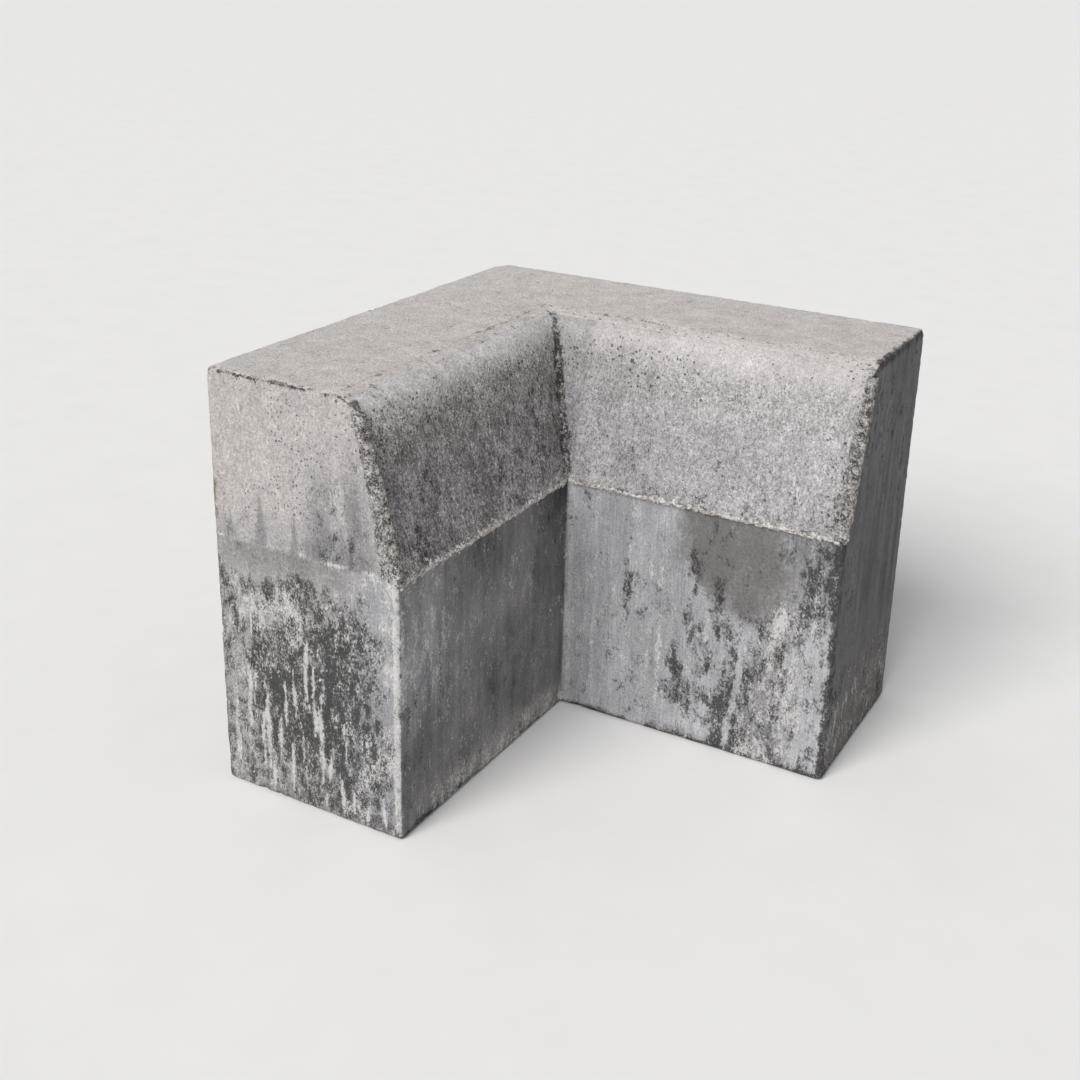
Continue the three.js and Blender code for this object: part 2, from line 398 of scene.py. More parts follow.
def paint_end_b(skin, paint):
    """End face of leg B: dark grey with upright streaks, earthy towards the ground; its darkness is
    partly painted shade.
    """
    u, z, p = skin.across_b / MM, skin.height / MM, skin.points
    here = skin.end_b
    cloud = fractal(p, (26 * MM, 26 * MM, 40 * MM), 3, 41)
    streaks = fractal(p, (5 * MM, 5 * MM, 70 * MM), 3, 42)
    # Dark tone and crust, partly painted shade on this face turned from the key light
    paint.set("tone", here, 0.14 + 0.03 * cloud + 0.05 * streaks * step_up(z, 40, 110))
    paint.set("warm", here, -0.1 + 0.5 * step_up(z, 100, 30))
    paint.add("brown", here, 0.36 * step_up(z + 16 * cloud, 82, 20) + 0.3 * step_up(z, 12, 2))
    paint.add("pale", here, 0.2 * step_up(z + 10 * cloud, 80, 30) + 0.12 + 0.08 * streaks)
    paint.add("dark", here, 0.3 + 0.14 * streaks + 0.2 * cloud + 0.3 * step_up(z, 8, 0))
    paint.add("dark", here, 0.3 * step_up(u, 116, 124) + 0.3 * step_up(z, 248, 253))

    # Soot that reaches round the worn edge onto the faces beside it
    beside = ~here & (skin.across_a > LEG - 5 * MM)
    reach = step_up(skin.across_a, LEG - 5 * MM, LEG - 1 * MM)
    paint.add("dark", beside, 0.5 * reach * step_up(cloud, -0.5, 0.3))


def paint_backs(skin, paint):
    """The two back faces and the base: plain formed concrete with faint streaks and old damp."""
    z, p = skin.height / MM, skin.points
    here = skin.back
    cloud = fractal(p, (44 * MM, 44 * MM, 56 * MM), 3, 51)
    streaks = fractal(p, (5 * MM, 5 * MM, 90 * MM), 3, 52)
    upper = step_up(z + 4 * cloud, 152, 161)
    lower = 1 - upper
    paint.set("tone", here, 0.29 + 0.1 * upper + 0.06 * cloud + 0.05 * streaks)
    paint.set("warm", here, 0.45 * upper - 0.15)
    paint.add("dark", here, lower * (0.32 + 0.2 * cloud + 0.16 * streaks) * window(z, 8, 146, 20))
    paint.add("pale", here, 0.18 + lower * (0.1 + 0.2 * streaks - 0.15 * cloud))
    paint.add("dark", here, 0.14 * upper)
    paint.add("brown", here, 0.26 * step_up(z + 14 * cloud, 64, 10) + 0.4 * step_up(z, 12, 2))
    paint.add("dark", here, 0.3 * step_up(z, 6, 0))


def paint_top(skin, paint):
    """The flat top: light, slightly pink, with pale grains and whiter rims."""
    p = skin.points
    here = skin.top
    cloud = fractal(p, 45 * MM, 3, 61)
    patches = fractal(p, 14 * MM, 3, 62)
    rim = np.minimum(skin.across_a, skin.across_b) / MM
    near_rim = step_up(rim + 10 * cloud, 30, 4)
    paint.set("tone", here, 0.67 + 0.02 * cloud + 0.05 * patches + 0.05 * near_rim)
    paint.set("warm", here, 1.0 - 0.5 * near_rim)
    paint.add("pale", here, 0.32 + 0.14 * patches + 0.12 * near_rim)
    paint.add("dark", here, 0.2)


def paint_arris(skin, paint):
    """The round top edge on the inside: rubbed pale, with painted shade in a faint crease where it
    meets the top.
    """
    z = skin.height / MM
    here = skin.face_a | skin.face_b
    wander = 3 * noise(skin.points, 20 * MM, 71)
    rubbed = step_up(z + wander, 206, 252)
    paint.add("tone", here, np.where(skin.face_a, 0.24, 0.05) * rubbed)
    paint.add("warm", here, 0.25 * rubbed)
    paint.add("dark", here, -0.2 * rubbed)
    paint.add("pale", here, 0.1 * rubbed)
    # Painted shade in the crease between the round edge and the flat top
    flat = face_setback(HEIGHT)
    nearer = np.minimum(skin.across_a, skin.across_b)
    crease = (z > 250) * window(nearer, flat - 1 * MM, flat + 1 * MM, 1.5 * MM)
    paint.add("dark", skin.top | here, 0.2 * crease)

    # A brownish line under the round edge of leg A
    stained = skin.face_a & (z > 200)
    line = window(z + 2 * wander, 216, 232, 7)
    paint.add("tone", stained, -0.07 * line)
    paint.add("warm", stained, 0.4 * line)


def paint_angle(skin, paint):
    """Dirt held by the rough stones in the inner angle, above the joint."""
    here = skin.face_a | skin.face_b
    out = np.maximum(skin.across_a, skin.across_b) - face_setback(skin.height)
    upper = step_up(skin.height, JOINT, JOINT + 6 * MM)
    held = upper * step_up(out + 1.5 * MM * noise(skin.points, 5 * MM, 81), 6 * MM, 2 * MM)
    paint.add("dark", here, held * (0.3 + 0.25 * step_up(skin.height, 190 * MM, 230 * MM)))
    paint.add("brown", here, 0.3 * held)


class Paint:
    """Named amounts at each vertex: tone is a reflectance, warm is -1 to 1, the rest are shares."""

    NAMES = ("tone", "warm", "grain", "brown", "dark", "pale", "moss", "edge", "pit", "holes")

    def __init__(self, count):
        self.amounts = {name: np.zeros(count) for name in self.NAMES}

    def set(self, name, where, value):
        self.amounts[name] = np.where(where, value, self.amounts[name])

    def add(self, name, where, value):
        self.amounts[name] = self.amounts[name] + np.where(where, value, 0)

    def store(self, mesh):
        for name, values in self.amounts.items():
            attribute = mesh.attributes.new(name, "FLOAT", "POINT")
            attribute.data.foreach_set("value", values.astype(np.float32))


# The weathered skin of the two lifts

# How sandy each kind of surface is
SANDY_FACE_A = 1.35
SANDY_FACE_B = 0.75
FORMED = 0.15  # cast against the mould
TOP = 0.4


def grain_of(skin):
    """How sandy each place is: most on the battered faces, less on the top, little elsewhere."""
    upper = step_up(skin.height, JOINT - 1 * MM, JOINT + 1 * MM)
    sandy = skin.face_a | skin.face_b
    most = np.where(skin.face_a, SANDY_FACE_A, SANDY_FACE_B)
    grain = np.where(sandy, upper * most, FORMED)
    grain = np.where(skin.top, TOP, grain)
    grain = np.where(skin.end_a, FORMED + 0.25 * upper, grain)
    rubbed = step_up(skin.height, HEIGHT - 26 * MM, HEIGHT - 6 * MM)
    return np.where(sandy, grain * (1 - 0.65 * rubbed) + 0.1, grain)


def pit_depths(skin, bend):
    """The larger air holes left by the mould, and crumbled edges, as shares of the deepest pit."""
    upper = skin.height > JOINT
    holes = pits(skin.points, 9 * MM, 1.9 * MM, 0.3, 3)
    small = pits(skin.points, 4.4 * MM, 2.1 * MM, 0.55, 7)
    amount = np.where((skin.end_a & upper) | skin.back, 0.3, 0.0)
    patchy = step_up(noise(skin.points, 18 * MM, 10), -0.5, 0.4)
    crumbled = step_up(bend, 0.05 * MM, 0.3 * MM) * patchy
    return np.maximum(holes * amount, small * 0.8 * crumbled)


def paint_pinholes(skin, paint):
    """How thick the small pinholes are in each place: thickest under the round top edge."""
    upper = skin.height > JOINT
    battered = (skin.face_a | skin.face_b) & upper
    patchy = step_up(noise(skin.points, 24 * MM, 9), -0.3, 0.6)
    below_arris = window(skin.height, HEIGHT - 34 * MM, HEIGHT - 10 * MM, 7 * MM)
    paint.add("holes", battered, 0.3 + 0.5 * patchy * below_arris)
    paint.add("holes", skin.end_a, np.where(upper, 0.3 + 0.35 * patchy, 0.15))
    paint.add("holes", skin.top, 0.16 + 0.1 * patchy)
    paint.add("holes", skin.back, 0.1 + 0.3 * patchy)
    near_end = step_up(np.maximum(skin.across_a, skin.across_b), LEG - 30 * MM, LEG - 6 * MM)
    paint.add("holes", battered, 0.3 * near_end)


def lip_drop(skin):
    """How far the round top edge lies under the flat top beside it, where the mould plates met."""
    lip = 0.6 * MM
    flat = face_setback(HEIGHT)
    nearer = np.minimum(skin.across_a, skin.across_b)
    starts = step_up(nearer, flat - 1.2 * MM, flat + 0.4 * MM)
    ends = step_up(nearer, flat + 14 * MM, flat + 4 * MM)
    near_top = step_up(skin.height, HEIGHT - 8 * MM, HEIGHT - 3 * MM)
    return lip * starts * ends * near_top


def fused_kerb():
    """Both blocks and their ridges as one mesh, grown enough to close the gaps between them."""
    block_growth, ridge_growth = 1 * MM, 0.4 * MM
    same_level = 0.05 * MM
    joined = bmesh.new()
    for node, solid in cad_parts.items():
        mesh = solid.data.copy()
        points, normals = read_vertices(mesh, "co"), read_vertices(mesh, "normal")
        if node.endswith("_block"):
            points[np.abs(points[:, 2] - JOINT) < same_level, 2] += block_growth
        else:
            points += ridge_growth * normals
        mesh.vertices.foreach_set("co", points.astype(np.float32).ravel())
        joined.from_mesh(mesh)
    fused = bpy.data.meshes.new("kerb")
    joined.to_mesh(fused)
    joined.free()
    return fused


def weathered_kerb():
    """The whole kerb as one even skin, with wear, chips, sand, pits and paint."""
    mesh = even_grid(fused_kerb(), BLOCK_VOXEL)
    skin = Skin(mesh)
    edges = read_edges(mesh)
    start = skin.points

    # Wear rounds every edge a little, and chips break it back further here and there
    eased = relaxed(start, edges, 6)
    broken = relaxed(eased, edges, 50)
    bend = ((start - eased) * skin.normals).sum(axis=1)  # positive on an outward edge
    wear = np.clip(0.5 + 0.7 * fractal(start, 9 * MM, 3, 1), 0, 1)
    chip = step_up(fractal(start, 11 * MM, 3, 2), 0.3, 0.62)
    moved = start + (eased - start) * wear[:, None]
    moved += (broken - moved) * (0.75 * chip * step_up(bend, 0.1 * MM, 0.5 * MM))[:, None]

    # Sand, a slow wave, the weld along the joint, pits and the lip under the top
    grain = grain_of(skin)
    pit = pit_depths(skin, bend)
    sand = (0.05 + 0.3 * grain) * MM * fractal(start, 4.2 * MM, 3, 3)
    wave = 0.2 * MM * noise(start, 55 * MM, 4)
    at_joint = window(skin.height, JOINT - 0.8 * MM, JOINT + 0.8 * MM, 0.8 * MM)
    weld = 0.3 * MM * at_joint * (0.6 + fractal(start, 7 * MM, 2, 12))
    out = sand + wave + weld - 1.1 * MM * pit - lip_drop(skin)
    moved += skin.normals * out[:, None]
    moved[:, 2] = np.maximum(moved[:, 2], 0)
    mesh.vertices.foreach_set("co", moved.astype(np.float32).ravel())

    paint = Paint(len(start))
    painters = (
        paint_backs, paint_top, paint_end_a, paint_face_a, paint_face_b, paint_end_b,
        paint_arris, paint_angle, paint_pinholes,
    )
    for painter in painters:
        painter(skin, paint)
    everywhere = np.ones(len(start), bool)
    paint.add("grain", everywhere, grain)
    paint.add("pit", everywhere, np.clip(pit * 1.6, 0, 1))
    paint.add("edge", everywhere, step_up(bend, 0.08 * MM, 0.6 * MM))
    paint.store(mesh)
    return mesh


def lift(name, node, whole, above):
    """The part of the kerb above or below the lift joint, closed there by a flat face."""
    mesh = bmesh.new()
    mesh.from_mesh(whole)
    bmesh.ops.bisect_plane(
        mesh,
        geom=[*mesh.verts, *mesh.edges, *mesh.faces],
        plane_co=(0, 0, JOINT_MIDDLE),
        plane_no=(0, 0, 1),
        clear_inner=above,
        clear_outer=not above,
    )
    for face in mesh.faces:
        face.smooth = True
    rim = [edge for edge in mesh.edges if edge.is_boundary]
    for edge in rim:
        edge.smooth = False
    bmesh.ops.holes_fill(mesh, edges=rim, sides=0)
    half = bpy.data.meshes.new(name)
    mesh.to_mesh(half)
    mesh.free()
    return settled(name, half, node)


def even_grid(mesh, voxel):
    """The same closed surface in even faces about a voxel wide, with overlapping bodies fused."""
    carrier = bpy.data.objects.new("carrier", mesh)
    bpy.context.collection.objects.link(carrier)
    grid = carrier.modifiers.new("grid", "REMESH")
    grid.mode = "VOXEL"
    grid.voxel_size = voxel
    evaluated = carrier.evaluated_get(bpy.context.evaluated_depsgraph_get())
    even = bpy.data.meshes.new_from_object(evaluated)
    even.materials.clear()
    bpy.data.objects.remove(carrier)
    return even


def settled(name, mesh, node):
    """A finished piece in the scene, with the calls that place it in the frame."""
    piece = bpy.data.objects.new(name, mesh)
    bpy.context.collection.objects.link(piece)
    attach(piece, "root")
    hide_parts(node)
    return piece


# Ridges: heaps of small broken stones and paste along a route, joined into one ragged body


def lump(mesh, place, radius, chance):
    """One knobbly stone."""
    stretch = [chance.uniform(0.7, 1.25) for _ in range(3)]
    angle = chance.uniform(0, math.tau)
    axis = Vector([chance.gauss(0, 1) for _ in range(3)])
    turn = Matrix.Rotation(angle, 3, axis)
    made = bmesh.ops.create_icosphere(mesh, subdivisions=1, radius=radius)
    for vertex in made["verts"]:
        bulge = chance.uniform(0.82, 1.15)
        vertex.co = turn @ (vertex.co * Vector(stretch)) * bulge + Vector(place)


def keep_largest_body(mesh):
    """Delete the crumbs that hang together with nothing else."""
    work = bmesh.new()
    work.from_mesh(mesh)
    left = set(work.verts)
    bodies = []
    while left:
        body = [left.pop()]
        for vertex in body:
            near = {edge.other_vert(vertex) for edge in vertex.link_edges} & left
            left -= near
            body.extend(near)
        bodies.append(body)
    bodies.remove(max(bodies, key=len))
    crumbs = [vertex for body in bodies for vertex in body]
    bmesh.ops.delete(work, geom=crumbs, context="VERTS")
    work.to_mesh(mesh)
    work.free()


def ragged_ridge(name, node, places, seed):
    """A ridge from places(share along, chance), which gives a lump's centre and radius."""
    chance = random.Random(seed)
    stones = bmesh.new()
    for i in range(places.count):
        centre, radius = places((i + chance.random()) / places.count, chance)
        lump(stones, centre, radius, chance)
    heap = bpy.data.meshes.new(name)
    stones.to_mesh(heap)
    stones.free()
    ridge = even_grid(heap, RIDGE_VOXEL)
    keep_largest_body(ridge)
    points, normals = read_vertices(ridge, "co"), read_vertices(ridge, "normal")
    points += 0.25 * MM * normals * noise(points, 1.1 * MM, seed)[:, None]
    ridge.vertices.foreach_set("co", points.astype(np.float32).ravel())
    ridge.polygons.foreach_set("use_smooth", np.ones(len(ridge.polygons), bool))
    return settled(name, ridge, node)


def kerb_point(across, along, height, on_leg_b):
    """A point by its distance from the back of its own leg and from the back of the other one."""
    u, v = (along, across) if on_leg_b else (across, along)
    return LOW[0] + u, HIGH[1] - v, height


def rod_bulge(offset, radius, inset):
    """How far a rod stands out of a face, beside its axis by the offset, its axis inset into it."""
    return max(0, math.sqrt(max(0, radius**2 - offset**2)) - inset)


class SeamPlaces:
    """Paste squeezed out along the lift joint on an inner face, in a ragged line."""

    count = 900
    rod_radius, rod_inset = 2.4 * MM, 0.6 * MM

    def __init__(self, on_leg_b):
        self.on_leg_b = on_leg_b

    def __call__(self, share, chance):
        along = WIDTH + share * (LEG - WIDTH - 3 * MM)
        ragged = 1.0 if self.on_leg_b else 1.2 + 0.6 * share
        sway = 0.6 * MM * math.sin(90 * share) * math.sin(37 * share)
        height = JOINT + ragged * MM * chance.gauss(0, 1) + sway
        swell = 0.6 + 0.4 * math.sin(61 * share) * math.sin(23 * share)
        radius = chance.uniform(0.45, 0.75 + 0.5 * swell * ragged) * MM
        bulge = rod_bulge(height - JOINT, self.rod_radius, self.rod_inset)
        across = float(face_setback(height)) + bulge - 0.35 * radius
        return kerb_point(across, along, height, self.on_leg_b), radius


class CornerPlaces:
    """Broken paste and stones up the inner angle of the battered faces, wider near the top."""

    count = 620
    rod_reach, rod_inset = 3.2 * MM, 1 * MM
    on_rod = 0.78  # share of the lumps that lie on the rod, and not on the faces beside it

    def __call__(self, share, chance):
        height = JOINT + share * (HEIGHT - 8 * MM - JOINT)
        setback = float(face_setback(height))
        radius = chance.uniform(0.5, 1.2) * MM
        if chance.random() < self.on_rod:
            turn = chance.uniform(0, math.pi / 2)
            u = setback - self.rod_inset + self.rod_reach * math.cos(turn)
            v = setback - self.rod_inset + self.rod_reach * math.sin(turn)
        else:
            u, v = setback, setback + (2 + (1 + 2 * share) * chance.random() ** 2) * MM
            if chance.random() < 0.5:
                u, v = v, u
        return kerb_point(u, v, height, False), radius


class EndPlaces:
    """Bare stones up the edge between an end face and its battered face, wider near the joint."""

    count = 1200
    rod_radius = 4 * MM
    rod_inset = 1.2 * MM  # from the battered face
    rod_from_end = 2.4 * MM

    def __init__(self, on_leg_b):
        self.on_leg_b = on_leg_b

    def __call__(self, share, chance):
        height = JOINT + share * (HEIGHT - 7 * MM - JOINT)
        wide = (4 + 8 * (1 - share) ** 1.2) * MM
        end_side, face_side = (4 * MM, wide) if self.on_leg_b else (wide, 4.5 * MM)
        setback = float(face_setback(height))
        radius = chance.uniform(0.55, 1.4) * MM
        if chance.random() < end_side / (end_side + face_side):
            inward = end_side * chance.random() ** 1.3 - 1.5 * MM
            bulge = rod_bulge(inward - self.rod_inset, self.rod_radius, self.rod_from_end)
            across, along = setback - inward, LEG + bulge - 0.3 * radius
        else:
            inward = face_side * chance.random() ** 1.3 - 1 * MM
            bulge = rod_bulge(inward - self.rod_from_end, self.rod_radius, self.rod_inset)
            across, along = setback + bulge - 0.3 * radius, LEG - inward
        return kerb_point(across, along, height, self.on_leg_b), radius


# Materials


class Nodes:
    """Short calls for building a node tree."""

    def __init__(self, material):
        material.use_nodes = True
        self.tree = material.node_tree
        self.shader = self.tree.nodes["Principled BSDF"]
        self.place = self.new("ShaderNodeTexCoord").outputs["Object"]

    def new(self, kind, **settings):
        node = self.tree.nodes.new(kind)
        for name, value in settings.items():
            setattr(node, name, value)
        return node

    def put(self, socket, value):
        if isinstance(value, bpy.types.NodeSocket):
            self.tree.links.new(value, socket)
        else:
            socket.default_value = value

    def math(self, operation, *values, clamp=False):
        node = self.new("ShaderNodeMath", operation=operation, use_clamp=clamp)
        for socket, value in zip(node.inputs, values):
            self.put(socket, value)
        return node.outputs[0]

    def amount(self, name):
        return self.new("ShaderNodeAttribute", attribute_name=name).outputs["Fac"]

    def noise(self, size, detail=3.0, roughness=0.6, stretch=1.0, seed=0):
        """Noise from 0 to 1. Its features are size metres across and stretch times as tall."""
        mapping = self.new("ShaderNodeMapping")
        self.put(mapping.inputs["Vector"], self.place)
        mapping.inputs["Location"].default_value = (seed, 2 * seed, 3 * seed)
        mapping.inputs["Scale"].default_value = (1, 1, 1 / stretch)
        node = self.new("ShaderNodeTexNoise")
        self.put(node.inputs["Vector"], mapping.outputs[0])
        node.inputs["Scale"].default_value = 1 / size
        node.inputs["Detail"].default_value = detail
        node.inputs["Roughness"].default_value = roughness
        return self.spread(node.outputs["Fac"], 0.3, 0.7)

    def crumbs(self, size, stretch=1.0, seed=0, patchy=0.35):
        """Noise for a crust that breaks up at every scale, from five times its grain size down."""
        broad = self.noise(5 * size, 3, 0.65, stretch, seed)
        fine = self.noise(size, 4, 0.8, 0.5 * stretch + 0.5, seed + 1)
        return self.math("MULTIPLY_ADD", self.math("SUBTRACT", broad, fine), patchy, fine)

    def cells(self, size, output="Distance"):
        node = self.new("ShaderNodeTexVoronoi")
        self.put(node.inputs["Vector"], self.place)
        node.inputs["Scale"].default_value = 1 / size
        return node.outputs[output]

    def spread(self, value, low, high, to_low=0.0, to_high=1.0):
        node = self.new("ShaderNodeMapRange")
        for socket, number in zip(node.inputs[:5], (value, low, high, to_low, to_high)):
            self.put(socket, number)
        return node.outputs[0]

    def mix(self, share, first, second, blend="MIX"):
        node = self.new("ShaderNodeMix", data_type="RGBA", blend_type=blend)
        self.put(node.inputs["Factor"], share)
        self.put(node.inputs[6], first)
        self.put(node.inputs[7], second)
        return node.outputs[2]

    def cover(self, amount, pattern, soft=0.06):
        """1 where the pattern lies under the painted amount, with edges as soft as asked."""
        return self.spread(self.math("SUBTRACT", amount, pattern), -soft, soft)

    def bump(self, height, distance, strength=1.0, under=None):
        node = self.new("ShaderNodeBump")
        node.inputs["Distance"].default_value = distance
        node.inputs["Strength"].default_value = strength
        self.put(node.inputs["Height"], height)
        if under is not None:
            self.put(node.inputs["Normal"], under)
        return node.outputs[0]


def grey(value, tint=(1, 1, 1)):
    return tuple(value * part for part in tint) + (1,)


COOL_TINT = (0.95, 0.98, 1.075, 1)
WARM_TINT = (1.07, 0.988, 0.942, 1)
PALE_GRAIN = grey(0.66, (1.03, 1, 0.96))
DARK_GRAIN = grey(0.09, (1.06, 1, 0.93))
DARK_EARTH = grey(0.10, (1.06, 1, 0.92))
LIGHT_EARTH = grey(0.20, (1.03, 1, 0.955))
DEEP_SOOT = grey(0.006)
THIN_SOOT = grey(0.09)
THIN_LIME = grey(0.42)
THICK_LIME = grey(0.86, (1.02, 1, 0.975))
MOSS = (0.17, 0.16, 0.09, 1)
PIT_SHADE = grey(0.07, (1.15, 1, 0.88))
PINHOLE_SHADE = grey(0.07, (1.12, 1, 0.9))
# pale of worn edges, also a painted highlight along them
WORN_EDGE_HIGHLIGHT = grey(0.5, (1.02, 1, 0.97))
DIRTY_EDGE = grey(0.08, (1.1, 1, 0.9))
SAND_SEED = 3  # for the sand's colour and its relief, so that the grains match


def body_colour(n, grain):
    """Cool or warm grey, as bright as the painted tone: brushed in smooth places, or sandy."""
    tint = n.mix(n.spread(n.amount("warm"), -1, 1), COOL_TINT, WARM_TINT)
    mottle = n.spread(n.noise(14 * MM, 4), 0, 1, 0.9, 1.1)
    speckle = n.spread(n.noise(0.9 * MM, 3, 0.8), 0, 1, 0.68, 1.32)
    brushed = n.spread(n.noise(1.1 * MM, 4, 0.7, stretch=18), 0, 1, 0.8, 1.2)
    brushed = n.mix(n.spread(grain, 0.1, 0.4), brushed, (1, 1, 1, 1))
    brightness = n.math("MULTIPLY", n.amount("tone"), n.math("MULTIPLY", mottle, speckle))
    brightness = n.math("MULTIPLY", brightness, brushed)
    sand = n.spread(n.noise(1.7 * MM, 4, 0.8, 1.5, SAND_SEED), 0.1, 0.9, 0.5, 1.5)
    drift = n.spread(n.noise(6 * MM, 4, 0.75, seed=5), 0.1, 0.9, 0.82, 1.16)
    sand = n.math("SUBTRACT", n.math("MULTIPLY", sand, drift), 1.0)
    brightness = n.math("MULTIPLY", brightness, n.math("MULTIPLY_ADD", sand, grain, 1.0))
    level = n.new("ShaderNodeCombineColor")
    for socket in level.inputs:
        n.put(socket, brightness)
    return n.mix(1.0, tint, level.outputs[0], "MULTIPLY")


def with_grains(n, colour, grain):
    """Pale and dark grains in the sandy places, thicker in some patches than in others."""
    stones = n.cover(n.math("MULTIPLY", grain, 0.22), n.cells(1.9 * MM), 0.08)
    colour = n.mix(n.math("MULTIPLY", stones, 0.4), colour, PALE_GRAIN)
    crowded = n.spread(n.noise(16 * MM, 3, 0.6, seed=7), 0.2, 0.8, 0.26, 0.44)
    grit = n.cover(n.math("MULTIPLY", grain, crowded), n.noise(1.1 * MM, 4, 0.8, seed=8), 0.07)
    return n.mix(n.math("MULTIPLY", grit, 0.72), colour, DARK_GRAIN)


def with_crusts(n, colour):
    """Brown film, black crust, pale crust and moss, and the two crusts' cover for relief."""
    film = n.cover(n.amount("brown"), n.crumbs(2 * MM, 1.3, 10), 0.34)
    earth = n.mix(n.noise(1.4 * MM, 4, 0.8, seed=11), DARK_EARTH, LIGHT_EARTH)
    colour = n.mix(n.math("MULTIPLY", film, 0.9), colour, earth)
    black = n.cover(n.amount("dark"), n.crumbs(1.1 * MM, 1.7, 18, 0.5), 0.12)
    soot = n.mix(n.noise(1.0 * MM, 4, 0.8, seed=19), DEEP_SOOT, THIN_SOOT)
    colour = n.mix(n.math("MULTIPLY", black, 0.95), colour, soot)
    pale = n.cover(n.amount("pale"), n.crumbs(1.0 * MM, 2.2, 14, 0.4), 0.1)
    lime = n.mix(n.noise(1.2 * MM, 4, 0.8, seed=15), THIN_LIME, THICK_LIME)
    colour = n.mix(n.math("MULTIPLY", pale, 0.8), colour, lime)
    moss = n.cover(n.amount("moss"), n.crumbs(1.2 * MM, 1, 22), 0.15)
    return n.mix(moss, colour, MOSS), black, pale


def with_holes(n, colour):
    """The dark of the larger pits and of ragged pinholes, and the pinholes' cover for relief."""
    pit = n.math("MULTIPLY", n.amount("pit"), 0.85, clamp=True)
    colour = n.mix(pit, colour, PIT_SHADE)
    spacing = 2.1 * MM
    own = n.new("ShaderNodeSeparateColor")
    n.put(own.inputs[0], n.cells(spacing, "Color"))
    own_size = n.math("MULTIPLY", own.outputs[0], own.outputs[1])
    reach = n.math("MULTIPLY", n.amount("holes"), own_size)
    ragged = n.noise(0.9 * MM, 3, 0.8, seed=31)
    away = n.math("MULTIPLY_ADD", ragged, 0.45, n.cells(spacing))
    pinhole = n.spread(n.math("SUBTRACT", reach, away), -0.24, -0.14)
    return n.mix(n.math("MULTIPLY", pinhole, 0.8), colour, PINHOLE_SHADE), pinhole


def with_edges(n, colour):
    """Edges: rubbed pale with a painted highlight, then a broken line of dirt."""
    edge = n.amount("edge")
    # Worn pale band on outward edges, partly a painted highlight
    rubbed = n.cover(n.math("MULTIPLY", edge, 0.42), n.crumbs(1.2 * MM, 1, 28), 0.1)
    colour = n.mix(n.math("MULTIPLY", rubbed, 0.4), colour, WORN_EDGE_HIGHLIGHT)
    patchy = n.noise(26 * MM, 3, 0.6, seed=25)
    dirt = n.cover(n.math("MULTIPLY", edge, patchy), n.crumbs(1.2 * MM, 1, 26), 0.1)
    return n.mix(n.math("MULTIPLY", dirt, 0.8), colour, DIRTY_EDGE)


def concrete(name):
    """Weathered concrete that reads the painted amounts."""
    material = bpy.data.materials.new(name)
    n = Nodes(material)
    grain = n.amount("grain")
    colour = with_grains(n, body_colour(n, grain), grain)
    colour, black, pale = with_crusts(n, colour)
    colour, pinhole = with_holes(n, colour)
    n.put(n.shader.inputs["Base Color"], with_edges(n, colour))
    n.put(n.shader.inputs["Roughness"], n.spread(n.noise(3 * MM), 0, 1, 0.78, 0.97))
    n.shader.inputs["Specular IOR Level"].default_value = 0.15

    # Relief: the sand, then crusts that stand out or eat in, and pinholes several times as deep
    sand = n.noise(1.7 * MM, 4, 0.8, 1.5, SAND_SEED)
    relief = n.math("MULTIPLY", sand, n.spread(grain, 0, 1, 0.2, 1.0))
    surface = n.bump(relief, 1.1 * MM, 0.9)
    crust = n.math("SUBTRACT", pale, black)
    crust = n.math("SUBTRACT", crust, n.math("MULTIPLY", pinhole, 4.0))
    n.put(n.shader.inputs["Normal"], n.bump(crust, 0.2 * MM, 0.6, surface))
    return material


def ridge_material(name, dark, light, gap_shade_share):
    """Broken paste and stones: a grey for each stone around the light one, and dark gaps of painted
    shade with dirt between them.
    """
    dull, bright = grey(light * 0.5, (1.08, 0.99, 0.93)), grey(light * 1.4, (1.04, 0.995, 0.965))
    material = bpy.data.materials.new(name)
    n = Nodes(material)
    each = n.new("ShaderNodeSeparateColor")
    n.put(each.inputs[0], n.cells(1.3 * MM, "Color"))
    stone = n.mix(each.outputs[0], dull, bright)
    shade = n.mix(n.noise(0.8 * MM, 3, 0.8), grey(0.6), grey(1.0))
    stone = n.mix(1.0, stone, shade, "MULTIPLY")
    # Dark between the stones: painted shade in the gaps, with dirt
    gap_shade = n.cover(gap_shade_share, n.crumbs(0.8 * MM, 1, 5), 0.12)
    colour = n.mix(gap_shade, stone, grey(dark, (1.15, 1, 0.86)))
    n.put(n.shader.inputs["Base Color"], colour)
    n.put(n.shader.inputs["Roughness"], n.spread(n.noise(1.5 * MM), 0, 1, 0.8, 1.0))
    n.put(n.shader.inputs["Normal"], n.bump(n.noise(0.7 * MM, 3, 0.7), 0.3 * MM, 0.8))
    return material


# The studio


def key_light():
    """A broad, distant light from the front and above."""
    light = bpy.data.lights.new("key", "SUN")
    light.energy = KEY_STRENGTH
    light.angle = KEY_SPREAD
    light.color = KEY_COLOUR
    lamp = bpy.data.objects.new("key", light)
    lamp.rotation_euler = Vector(KEY_DIRECTION).to_track_quat("Z", "Y").to_euler()
    bpy.context.collection.objects.link(lamp)


def floor():
    """Pale paper, out of view on all sides."""
    mesh = bmesh.new()
    bmesh.ops.create_circle(mesh, cap_ends=True, radius=FLOOR_RADIUS, segments=64)
    data = bpy.data.meshes.new("studio_floor")
    mesh.to_mesh(data)
    mesh.free()
    paper = bpy.data.materials.new("pale_paper")
    n = Nodes(paper)
    n.put(n.shader.inputs["Base Color"], n.mix(n.noise(0.05, 2), grey(0.86), grey(0.88)))
    n.shader.inputs["Roughness"].default_value = 0.95
    data.materials.append(paper)
    piece = bpy.data.objects.new("studio_floor", data)
    bpy.context.collection.objects.link(piece)


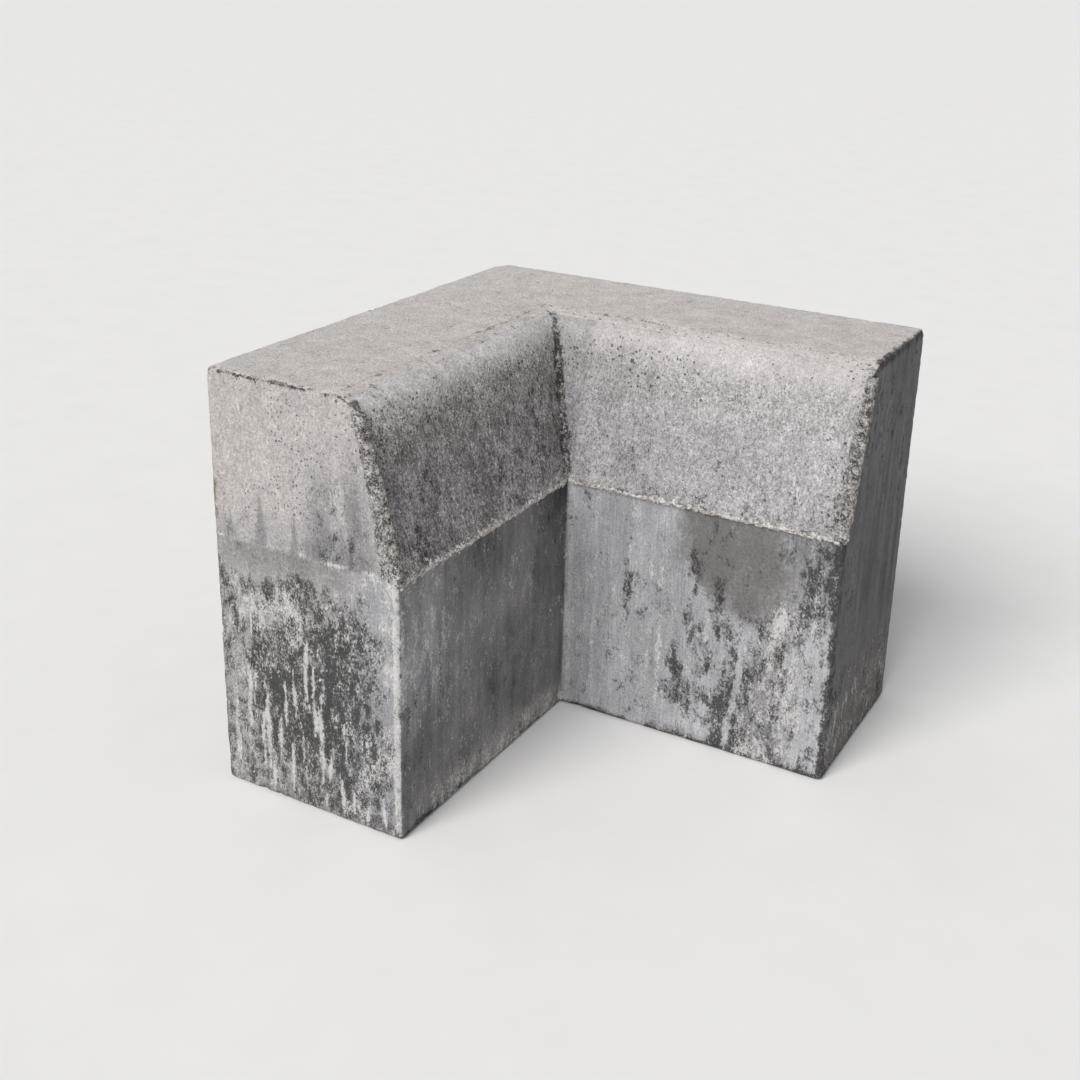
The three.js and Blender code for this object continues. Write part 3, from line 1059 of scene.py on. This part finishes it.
def sky():
    """Soft light from all round, as bright as the floor at the horizon and dimmer overhead."""
    world = bpy.data.worlds.new("sky")
    world.use_nodes = True
    tree = world.node_tree
    background = tree.nodes["Background"]
    place = tree.nodes.new("ShaderNodeTexCoord").outputs["Generated"]
    direction = tree.nodes.new("ShaderNodeSeparateXYZ")
    tree.links.new(place, direction.inputs[0])
    fade = tree.nodes.new("ShaderNodeMapRange")
    for socket, number in zip(fade.inputs[1:5], (0, 0.5, SKY_AT_HORIZON, SKY_OVERHEAD)):
        socket.default_value = number
    tree.links.new(direction.outputs["Z"], fade.inputs[0])
    tree.links.new(fade.outputs[0], background.inputs["Strength"])
    background.inputs["Color"].default_value = SKY_COLOUR
    return world


def camera():
    """From the front right and above, with a slight roll."""
    level = math.cos(CAMERA_ELEVATION)
    back = Vector((
        math.sin(CAMERA_AZIMUTH) * level,
        -math.cos(CAMERA_AZIMUTH) * level,
        math.sin(CAMERA_ELEVATION),
    ))
    right = Vector((math.cos(CAMERA_AZIMUTH), math.sin(CAMERA_AZIMUTH), 0))
    roll = Matrix.Rotation(CAMERA_ROLL, 3, "Z")
    turned = Matrix((right, back.cross(right), back)).transposed() @ roll
    data = bpy.data.cameras.new("camera")
    data.lens = CAMERA_LENS
    data.sensor_width = CAMERA_SENSOR
    data.shift_x, data.shift_y = CAMERA_SHIFT
    shot = bpy.data.objects.new("camera", data)
    shot.matrix_world = Matrix.Translation(CAMERA_PLACE) @ turned.to_4x4()
    bpy.context.collection.objects.link(shot)
    bpy.context.scene.camera = shot


def studio():
    floor()
    key_light()
    bpy.context.scene.world = sky()
    bpy.context.scene.view_settings.view_transform = "Standard"


def kerb():
    skin = concrete("weathered_concrete")
    whole = weathered_kerb()
    lifts = (
        lift("lower_lift", "lower_block", whole, above=False),
        lift("upper_lift", "upper_block", whole, above=True),
    )
    for piece in lifts:
        piece.data.materials.append(skin)


def ridges():
    paste = ridge_material("pale_paste", 0.1, 0.66, 0.36)
    stones = ridge_material("bare_stones", 0.03, 0.52, 0.48)
    sooty = ridge_material("sooty_stones", 0.03, 0.4, 0.5)
    rows = (
        ("seam_paste_leg_a", "seam_ridge_leg_a", "laitance", SeamPlaces(False), 11, paste),
        ("end_stones_leg_a", "end_ridge_leg_a", "bare_aggregate", EndPlaces(False), 12, stones),
        ("seam_paste_leg_b", "seam_ridge_leg_b", "laitance", SeamPlaces(True), 11, paste),
        ("end_stones_leg_b", "end_ridge_leg_b", "bare_aggregate", EndPlaces(True), 12, stones),
        ("corner_stones", "corner_ridge", "bare_aggregate", CornerPlaces(), 13, sooty),
    )
    for name, node, slot, places, seed, material in rows:
        ragged_ridge(name, node, places, seed).data.materials.append(material)


studio()
camera()
kerb()
ridges()
